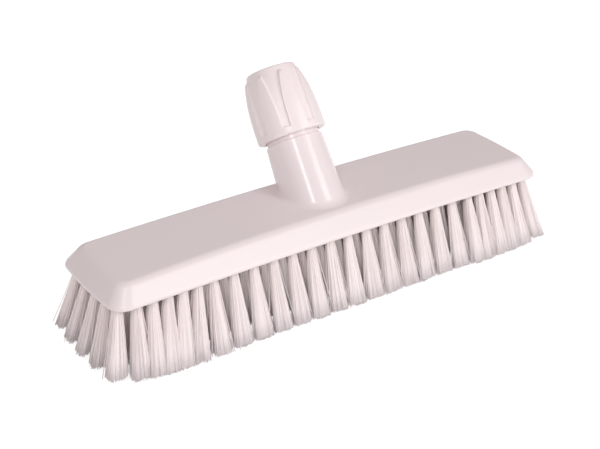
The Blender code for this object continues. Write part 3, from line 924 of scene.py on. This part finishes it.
def tab_form(side):
    """One straight tab under the sleeve, with the corners of its foot rounded."""
    middle = side * (BORE_RADIUS + THREAD_ROOT) / 2
    half = TAB_THICKNESS / 2
    low = (middle - half, -TAB_WIDTH / 2, SLEEVE_FOOT_AT - TAB_LENGTH)
    high = (middle + half, TAB_WIDTH / 2, SLEEVE_FOOT_AT + TAB_THICKNESS)
    tab = box_form(low, high)
    enter_edit(tab)

    def at_corner(edge):
        """Whether an edge goes through the tab's thickness at its foot."""
        first, second = (vertex.co for vertex in edge.verts)
        return abs(first.y - second.y) < TINY and max(first.z, second.z) < low[2] + TINY

    pick("EDGE", at_corner)
    bpy.ops.mesh.bevel(offset=TAB_CORNER, segments=TAB_STEPS, affect="EDGES")
    leave_edit()
    return tab


class SleeveOperator(Operator):
    """Models the split gripper sleeve with its two tabs"""

    bl_idname = "deck_brush.sleeve"
    bl_label = "Gripper Sleeve"

    def execute(self, context):
        sleeve = sleeve_ring()
        for side in (-1, 1):
            combine(sleeve, tab_form(side), "UNION")
        cut_grip(sleeve)
        close_up(sleeve)
        on_socket(sleeve)
        smooth_piece(sleeve, SLEEVE_SMOOTH)
        material = sleeve_finish(context.scene.deck_brush_finish.sleeve)
        finish_piece(sleeve, "split_sleeve", "gripper", material, "gripper_sleeve")
        return {"FINISHED"}


# Tufts


def unit_rod(sides, radius):
    """A straight rod of unit length, divided along it and open in edit mode."""
    rod = start_disc(sides, radius)
    for _ in range(ROD_STEPS):
        extrude_up(1 / ROD_STEPS)
    return rod


def taken_apart(pattern):
    """The points of a pattern and its faces, turned for use upside down; the pattern is removed."""
    close_up(pattern)
    points = np.array([vertex.co for vertex in pattern.data.vertices])
    faces = [tuple(reversed(face.vertices)) for face in pattern.data.polygons]
    bpy.data.objects.remove(pattern)
    return points, faces


def one_filament(thickness):
    """A single straight filament of unit length with a slightly narrowed end."""
    filament = unit_rod(FILAMENT_SIDES, thickness / 2)
    bpy.ops.transform.resize(value=(FILAMENT_END, FILAMENT_END, 1), center_override=(0, 0, 1))
    leave_edit()
    return taken_apart(filament)


def one_core():
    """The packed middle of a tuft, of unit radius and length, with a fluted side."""
    core = unit_rod(2 * CORE_FLUTES, 1)
    leave_edit()
    points, faces = taken_apart(core)
    flute = 1 + FLUTE_DEPTH * np.cos(CORE_FLUTES * np.arctan2(points[:, 1], points[:, 0]))
    points[:, :2] *= flute[:, None]
    return points, faces


def end_share(x):
    """Near 0 along the brush and 1 at its outermost column."""
    return (abs(x) / abs(FIRST_COLUMN)) ** END_SHARPNESS


def tip_centre(x, y):
    """Where a tuft's middle ends, on the floor or a little above it at the two ends."""
    places, shifts = zip(*LEAN_ALONG)
    shift = np.interp(x / MM, places, shifts) * MM
    if x < 0:
        shift += LEFT_FAN * end_share(x) * (y / (2 * ROW_PITCH)) ** 2
    across = y * (1 + LEAN_ACROSS + END_SPREAD * end_share(x))
    across -= math.copysign(END_SWAY * end_share(x), x)
    return np.array([x + shift, across, TIP_LIFT * end_share(x)])


def follow_tuft(x, y, root, tip, foot, share):
    """Where points lie on the way from a tuft's root to its flared tip, root and tip being offsets."""
    flare = share[..., None] ** FLARE
    centre = tip_centre(x, y)
    middle = np.array([x, y]) * (1 - flare) + centre[:2] * flare
    place = middle + root * (1 - flare) + tip * flare + (0, BLOCK_Y)
    top = UNDERSIDE_LEVEL + ROOT_DEPTH
    height = top + (centre[2] + foot - top) * share
    return np.concatenate([place, height[..., None]], axis=-1)


def squared(offsets):
    """Draws a disc out towards four corners, as the flattened end of a tuft is."""
    corner = 2 * np.prod(offsets, axis=1) / np.sum(offsets**2, axis=1)
    return offsets * (1 + TIP_CORNERS * corner**2)[:, None]


def core_points(x, y, tip_size, points, chance):
    """The points of one tuft's packed middle, and a shade for each point, alike all the way down."""
    disc = points[:, :2] * CORE_SHARE
    tip = squared(disc) * tip_size
    place = follow_tuft(x, y, disc * TUFT_ROOT_RADIUS, tip, CORE_END, points[:, 2])
    sides = np.round(np.arctan2(points[:, 1], points[:, 0]) * CORE_FLUTES / math.pi).astype(int)
    return place, chance.random(2 * CORE_FLUTES)[sides % (2 * CORE_FLUTES)]


def filament_ends(tip_size, sizes, chance):
    """Each filament's offsets from the tuft's middle at its root and its tip, and its tip's height.

    The filaments crowd outwards and end in clumps, on a cut that rises a little from one line.
    """
    count = sizes.filaments
    order = np.arange(count)
    turn = order * GOLDEN_ANGLE + chance.uniform(0, 2 * math.pi)
    spread = ((order + 0.5) / count) ** CROWDING
    across = np.stack([np.cos(turn), np.sin(turn)], axis=1) * spread[:, None]
    root = across * TUFT_ROOT_RADIUS + chance.normal(0, ROOT_JITTER, (count, 2))
    tip = across + chance.normal(0, TIP_JITTER, (count, 2))
    tip /= np.maximum(np.linalg.norm(tip, axis=1, keepdims=True), 1)
    reach = np.where(chance.random((count, 1)) < STRAY_SHARE, STRAY_REACH, 1)
    tip = squared(tip) * tip_size * reach
    clump = (turn * CLUMPS / (2 * math.pi)).astype(int) % CLUMPS
    shared = chance.random(CLUMPS)[clump][:, None] ** 2
    own = chance.random((count, 1)) ** 2
    foot = sizes.unevenness * (CLUMP_SHARE * shared + (1 - CLUMP_SHARE) * own)
    foot += np.abs(tip[:, :1] + chance.uniform(-1, 1) * tip_size[0]) * CUT_SLOPE
    return root, tip, foot


def tuft_points(x, y, tip_size, points, sizes, chance):
    """The points of all filaments of one tuft, and a shade for each filament."""
    count = sizes.filaments
    root, tip, foot = filament_ends(tip_size, sizes, chance)
    share = np.broadcast_to(points[:, 2], (count, len(points)))
    place = follow_tuft(x, y, root[:, None], tip[:, None], foot, share)
    bow = chance.normal(0, BOW, (count, 1, 2))
    place[..., :2] += bow * (4 * share * (1 - share))[..., None]
    twist = chance.uniform(0, 2 * math.pi, (count, 1))
    place[..., 0] += points[:, 0] * np.cos(twist) - points[:, 1] * np.sin(twist)
    place[..., 1] += points[:, 0] * np.sin(twist) + points[:, 1] * np.cos(twist)
    return place.reshape(-1, 3), np.repeat(chance.random(count), len(points))


def repeat_faces(pattern, count, start):
    """The faces of so many copies of a pattern whose points begin at one place in a list."""
    points, faces = pattern
    shifts = [start + index * len(points) for index in range(count)]
    return [tuple(corner + shift for corner in face) for shift in shifts for face in faces]


def column_mesh(name, x, tip_size, filament, core, sizes, chance):
    """The five tufts of one column as one mesh, with each filament's shade as an attribute."""
    pitch = ROW_PITCH + (END_ROW_PITCH - ROW_PITCH) * end_share(x)
    places, shades, faces = [], [], []
    for row in range(ROWS):
        y = (row - (ROWS - 1) / 2) * pitch
        strands = tuft_points(x, y, tip_size, filament[0], sizes, chance)
        middle = core_points(x, y, tip_size, core[0], chance)
        for pattern, count, (points, tints) in ((filament, sizes.filaments, strands), (core, 1, middle)):
            faces += repeat_faces(pattern, count, sum(map(len, places)))
            places.append(points)
            shades.append(tints)
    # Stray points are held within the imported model's box
    places = np.clip(np.concatenate(places), *np.array(CAD_BOUNDS))
    mesh = bpy.data.meshes.new(name)
    mesh.from_pydata(places.tolist(), [], faces)
    shade = mesh.attributes.new("shade", "FLOAT", "POINT")
    shade.data.foreach_set("value", np.concatenate(shades).astype(np.float32))
    mesh.update()
    sides = [abs(face.normal.z) < CAP_SLOPE for face in mesh.polygons]
    mesh.polygons.foreach_set("use_smooth", sides)
    return mesh


class TuftsOperator(Operator):
    """Models the 26 columns of five tufts from single filaments"""

    bl_idname = "deck_brush.tufts"
    bl_label = "Tufts"

    def execute(self, context):
        sizes = context.scene.deck_brush_tufts
        filament = one_filament(sizes.thickness)
        core = one_core()
        material = filament_finish(context.scene.deck_brush_finish.filament)
        chance = np.random.default_rng(sizes.seed)
        for number, x in enumerate(np.cumsum([FIRST_COLUMN] + COLUMN_STEPS), 1):
            beside = COLUMN_STEPS[max(number - 2, 0) : number]
            tip_size = CLOSE_TIP if CLOSE_PITCH in beside else WIDE_TIP
            name = f"tuft_column_{number:02d}"
            piece = new_object(name, column_mesh(name, x, tip_size, filament, core, sizes, chance))
            finish_piece(piece, name, "block", material, f"bristle_column_{number:02d}")
        return {"FINISHED"}


# Finishes


class Socket:
    """A shader socket that can be used in sums."""

    def __init__(self, finish, socket):
        self.finish = finish
        self.socket = socket

    def calculate(self, operation, first, second):
        return self.finish.node("ShaderNodeMath", {"operation": operation}, {0: first, 1: second})

    def __add__(self, other):
        return self.calculate("ADD", self, other)

    __radd__ = __add__

    def __sub__(self, other):
        return self.calculate("SUBTRACT", self, other)

    def __rsub__(self, other):
        return self.calculate("SUBTRACT", other, self)

    def __mul__(self, other):
        return self.calculate("MULTIPLY", self, other)

    __rmul__ = __mul__

    def at_least(self, other):
        return self.calculate("MAXIMUM", self, other)


class Finish:
    """A material or a world in the making: it adds nodes and hands back their outputs as sockets."""

    def __init__(self, owner, shader="Principled BSDF"):
        owner.use_nodes = True
        self.owner = owner
        self.tree = owner.node_tree
        self.shader = self.tree.nodes[shader]

    def node(self, kind, settings=None, sockets=None, output=0):
        """Adds a node, sets its settings first and then the values or links of its sockets."""
        node = self.tree.nodes.new(kind)
        for name, value in (settings or {}).items():
            setattr(node, name, value)
        for name, value in (sockets or {}).items():
            self.feed(node.inputs[name], value)
        return Socket(self, node.outputs[output])

    def feed(self, socket, value):
        """Links a socket to another one or gives it a value."""
        if isinstance(value, Socket):
            self.tree.links.new(value.socket, socket)
        else:
            socket.default_value = value

    def set(self, **sockets):
        """Feeds the shader; names are its socket names with underscores for spaces."""
        for name, value in sockets.items():
            self.feed(self.shader.inputs[name.replace("_", " ")], value)

    def ray(self, kind):
        """1 for light paths of one kind and 0 for the others."""
        return self.node("ShaderNodeLightPath", output=f"Is {kind} Ray")

    def place(self):
        """The point in the object's own axes, in metres."""
        return self.node("ShaderNodeTexCoord", output="Object")

    def noise(self, place, scale, detail=2):
        """A random pattern from 0 to 1, with so many repeats to a metre."""
        sockets = {"Vector": place, "Scale": scale, "Detail": detail}
        return self.node("ShaderNodeTexNoise", None, sockets, "Fac")

    def mix(self, share, first, second):
        """A colour between two others."""
        sockets = {0: share, 6: first, 7: second}
        return self.node("ShaderNodeMix", {"data_type": "RGBA"}, sockets, 2)

    def height(self, place):
        """The height above the floor, in metres."""
        return self.node("ShaderNodeSeparateXYZ", None, {0: place}, "Z")

    def bump(self, height, depth):
        """The normal of a relief whose height goes from 0 to 1 over a depth in metres."""
        return self.node("ShaderNodeBump", None, {"Strength": 1, "Distance": depth, "Height": height})

    def step(self, value, low, high):
        """0 below low, 1 above high and soft in between."""
        sockets = {"Value": value, "From Min": low, "From Max": high}
        return self.node("ShaderNodeMapRange", {"interpolation_type": "SMOOTHSTEP"}, sockets)


def new_finish(name):
    return Finish(bpy.data.materials.new(name))


def tone(colour, factor):
    """A lighter or darker version of a colour, with full alpha."""
    return tuple(min(channel * factor, 1) for channel in colour) + (1,)


def tones(colour, factors):
    """Versions of a colour, one for each factor."""
    return [tone(colour, factor) for factor in factors]


def plastic_finish(name, colour, roughness):
    """Glossy white moulding, cloudy and grained, with the board's own roughness low down."""
    finish = new_finish(name)
    place = finish.place()
    cloud = finish.noise(place, CLOUD_SCALE, 3)
    grain = finish.noise(place, GRAIN_SCALE)
    peel = finish.noise(place, PEEL_SCALE, 1)
    shade = cloud * (1 - GRAIN_SHARE) + grain * GRAIN_SHARE
    board = 1 - finish.step(finish.height(place), *BOARD_FADE)
    even = roughness + board * (BOARD_ROUGHNESS - roughness)
    relief = peel * PEEL_SHARE + grain * (1 - PEEL_SHARE)
    finish.set(Base_Color=finish.mix(shade, *tones(colour, PLASTIC_TONES)))
    finish.set(Roughness=even + (grain - 0.5) * ROUGH_BY_GRAIN + (cloud - 0.5) * ROUGH_BY_CLOUD)
    finish.set(Normal=finish.bump(relief, PLASTIC_RELIEF), IOR=PLASTIC_IOR)
    return finish.owner


def sleeve_finish(colour):
    """Satin natural plastic with a fine grain."""
    finish = new_finish("natural_plastic")
    place = finish.place()
    cloud = finish.noise(place, SLEEVE_CLOUD_SCALE, 3)
    grain = finish.noise(place, SLEEVE_GRAIN_SCALE)
    finish.set(Base_Color=finish.mix(cloud, *tones(colour, SLEEVE_TONES)))
    finish.set(Roughness=SLEEVE_ROUGHNESS + (grain - 0.5) * SLEEVE_ROUGH_BY_GRAIN)
    finish.set(Normal=finish.bump(grain, SLEEVE_RELIEF))
    return finish.owner


def filament_finish(colour):
    """Satin filament: each one has its own tone at random, and all are painted paler towards the block, a
    painted light that lifts the shade there.
    """
    finish = new_finish("bristle_filament")
    place = finish.place()
    shade = finish.node("ShaderNodeAttribute", {"attribute_name": "shade"}, output="Fac")
    streak = finish.noise(place, STREAK_SCALE)
    # Painted light: between two heights under the block the filaments are painted paler and a trace
    # yellower, where shade falls
    painted_light_mask = finish.step(finish.height(place), *PAINTED_LIGHT_SPAN)
    share = shade * (1 - STREAK_SHARE) + streak * STREAK_SHARE
    lower_tone = finish.mix(share, *tones(colour, FILAMENT_TONES))
    painted_light_tone = tone((colour[0], colour[1], colour[2] * PAINTED_LIGHT_BLUE), PAINTED_LIGHT_TONE)
    finish.set(Base_Color=finish.mix(painted_light_mask * PAINTED_LIGHT_SHARE, lower_tone, painted_light_tone))
    finish.set(Roughness=FILAMENT_ROUGHNESS + shade * ROUGH_BY_SHADE)
    return finish.owner


# Studio


def add_light(name, power, azimuth, elevation, distance, size):
    """An area light that faces the brush, placed by its angles round it and above it."""
    data = bpy.data.lights.new(name, "AREA")
    data.shape = "RECTANGLE"
    data.size, data.size_y = size
    data.energy = power
    light = new_object(name, data)
    azimuth, elevation = math.radians(azimuth), math.radians(elevation)
    level = math.cos(elevation)
    back = Vector((math.sin(azimuth) * level, -math.cos(azimuth) * level, math.sin(elevation)))
    light.location = Vector(LAMP_TARGET) + back * distance
    light.rotation_euler = (-back).to_track_quat("-Z", "Y").to_euler()


def floor_finish(colour):
    """Pale paper that looks white where nothing shades it and still keeps a soft shadow.

    Only where it is looked at, straight or in a reflection, is it darker and glows.
    """
    finish = new_finish("studio_floor")
    grain = finish.noise(finish.place(), FLOOR_GRAIN_SCALE)
    seen = finish.ray("Camera").at_least(finish.ray("Glossy")).at_least(finish.ray("Transmission"))
    paper = finish.mix(seen, *tones(colour, (1, FLOOR_SEEN_TONE)))
    speckled = finish.mix(grain * FLOOR_GRAIN_SHARE, paper, tone(colour, FLOOR_GRAIN_TONE))
    finish.set(Base_Color=speckled, Roughness=FLOOR_ROUGHNESS, Specular_IOR_Level=0)
    finish.set(Emission_Color=finish.mix(seen, *tones((1, 1, 1), (0, FLOOR_GLOW))))
    finish.set(Emission_Strength=1)
    return finish.owner


def set_world(strength):
    """Even, faintly pink light from all round, and white where it is looked at."""
    world = bpy.data.worlds.new("studio")
    bpy.context.scene.world = world
    finish = Finish(world, "Background")
    finish.set(Color=finish.mix(finish.ray("Camera"), tone(SKY_TINT, strength), (1, 1, 1, 1)))


def add_camera():
    """The camera at the angle and distance of the photograph."""
    data = bpy.data.cameras.new("photo_view")
    data.sensor_fit = "HORIZONTAL"
    data.sensor_width = CAMERA_SENSOR
    data.lens = CAMERA_LENS
    data.clip_start, data.clip_end = CAMERA_CLIP
    camera = new_object("photo_view", data)
    turn = Matrix(CAMERA_AXES).transposed().to_quaternion()
    camera.matrix_world = Matrix.Translation(CAMERA_PLACE) @ turn.to_matrix().to_4x4()
    bpy.context.scene.camera = camera


class StageOperator(Operator):
    """Sets up the floor, the lights and the camera"""

    bl_idname = "deck_brush.stage"
    bl_label = "Studio"

    def execute(self, context):
        settings = context.scene.deck_brush_stage
        floor = start_piece(bpy.ops.mesh.primitive_plane_add, size=FLOOR_SIZE)
        leave_edit()
        floor.name = "studio_floor"
        floor.data.materials.append(floor_finish(settings.floor))
        add_light("key_light", settings.key, *KEY_LAMP)
        add_light("fill_light", settings.fill, *FILL_LAMP)
        set_world(settings.sky)
        add_camera()
        context.scene.view_settings.view_transform = "Standard"
        return {"FINISHED"}


class DeckBrushPanel(Panel):
    """Lists the parts of the brush and the settings of each"""

    bl_idname = "VIEW3D_PT_deck_brush"
    bl_label = "Deck Brush"
    bl_space_type = "VIEW_3D"
    bl_region_type = "UI"
    bl_category = "Deck Brush"

    def draw(self, context):
        for operator in OPERATORS:
            self.layout.operator(operator.bl_idname)
        for name, settings in SETTINGS.items():
            box = self.layout.box()
            values = getattr(context.scene, name)
            for entry in settings.__annotations__:
                box.prop(values, entry)


OPERATORS = (BlockOperator, CollarOperator, SleeveOperator, TuftsOperator, StageOperator)
SETTINGS = {
    "deck_brush_block": BlockSettings,
    "deck_brush_collar": CollarSettings,
    "deck_brush_tufts": TuftSettings,
    "deck_brush_finish": FinishSettings,
    "deck_brush_stage": StageSettings,
}
CLASSES = (*SETTINGS.values(), *OPERATORS, DeckBrushPanel)


def register():
    for kind in CLASSES:
        bpy.utils.register_class(kind)
    for name, settings in SETTINGS.items():
        setattr(bpy.types.Scene, name, PointerProperty(type=settings))


def unregister():
    for name in SETTINGS:
        delattr(bpy.types.Scene, name)
    for kind in reversed(CLASSES):
        bpy.utils.unregister_class(kind)


def main():
    register()
    bpy.ops.deck_brush.block()
    bpy.ops.deck_brush.collar()
    bpy.ops.deck_brush.sleeve()
    bpy.ops.deck_brush.tufts()
    bpy.ops.deck_brush.stage()


if __name__ == "__main__":
    main()
